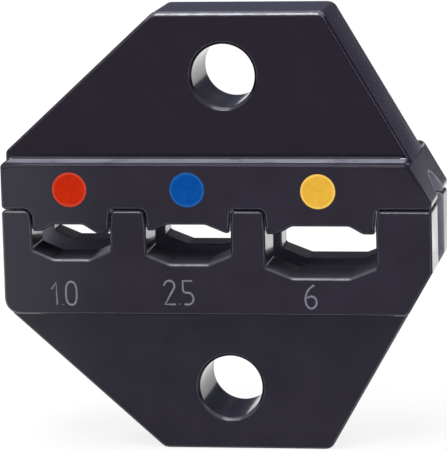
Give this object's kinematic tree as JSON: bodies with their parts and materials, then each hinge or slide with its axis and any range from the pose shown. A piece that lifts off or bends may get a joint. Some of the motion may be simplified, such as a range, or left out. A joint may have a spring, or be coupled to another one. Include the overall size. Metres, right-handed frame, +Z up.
{
  "type": "crimp die",
  "caption": "Two-half interchangeable crimp die with interlocking posts and punches, oval nests for insulated terminals, drilled mounting flanges and colour marks.",
  "frame": {"origin": "centre of the bounding box at its base, on the flat outer edge of the lower flange, with the pair closed", "axes": "+Z up, the direction in which the upper half opens; the marked front face looks towards -Y; +X to the right seen from the front"},
  "size_m": [0.034, 0.0114, 0.0348],
  "materials": {
    "die_steel": "hardened tool steel with a satin black oxide finish",
    "red_paint": "satin red enamel",
    "blue_paint": "satin blue enamel",
    "yellow_paint": "satin yellow enamel"
  },
  "bodies": {
    "lower_half": {"lower_die": "die_steel"},
    "upper_half": {"upper_die": "die_steel", "red_mark": "red_paint", "blue_mark": "blue_paint", "yellow_mark": "yellow_paint"}
  },
  "joints": [
    {"name": "jaw_slide", "type": "slide", "parent": "lower_half", "child": "upper_half", "axis": [0, 0, 1], "range_m": [0, 0.01]}
  ]
}
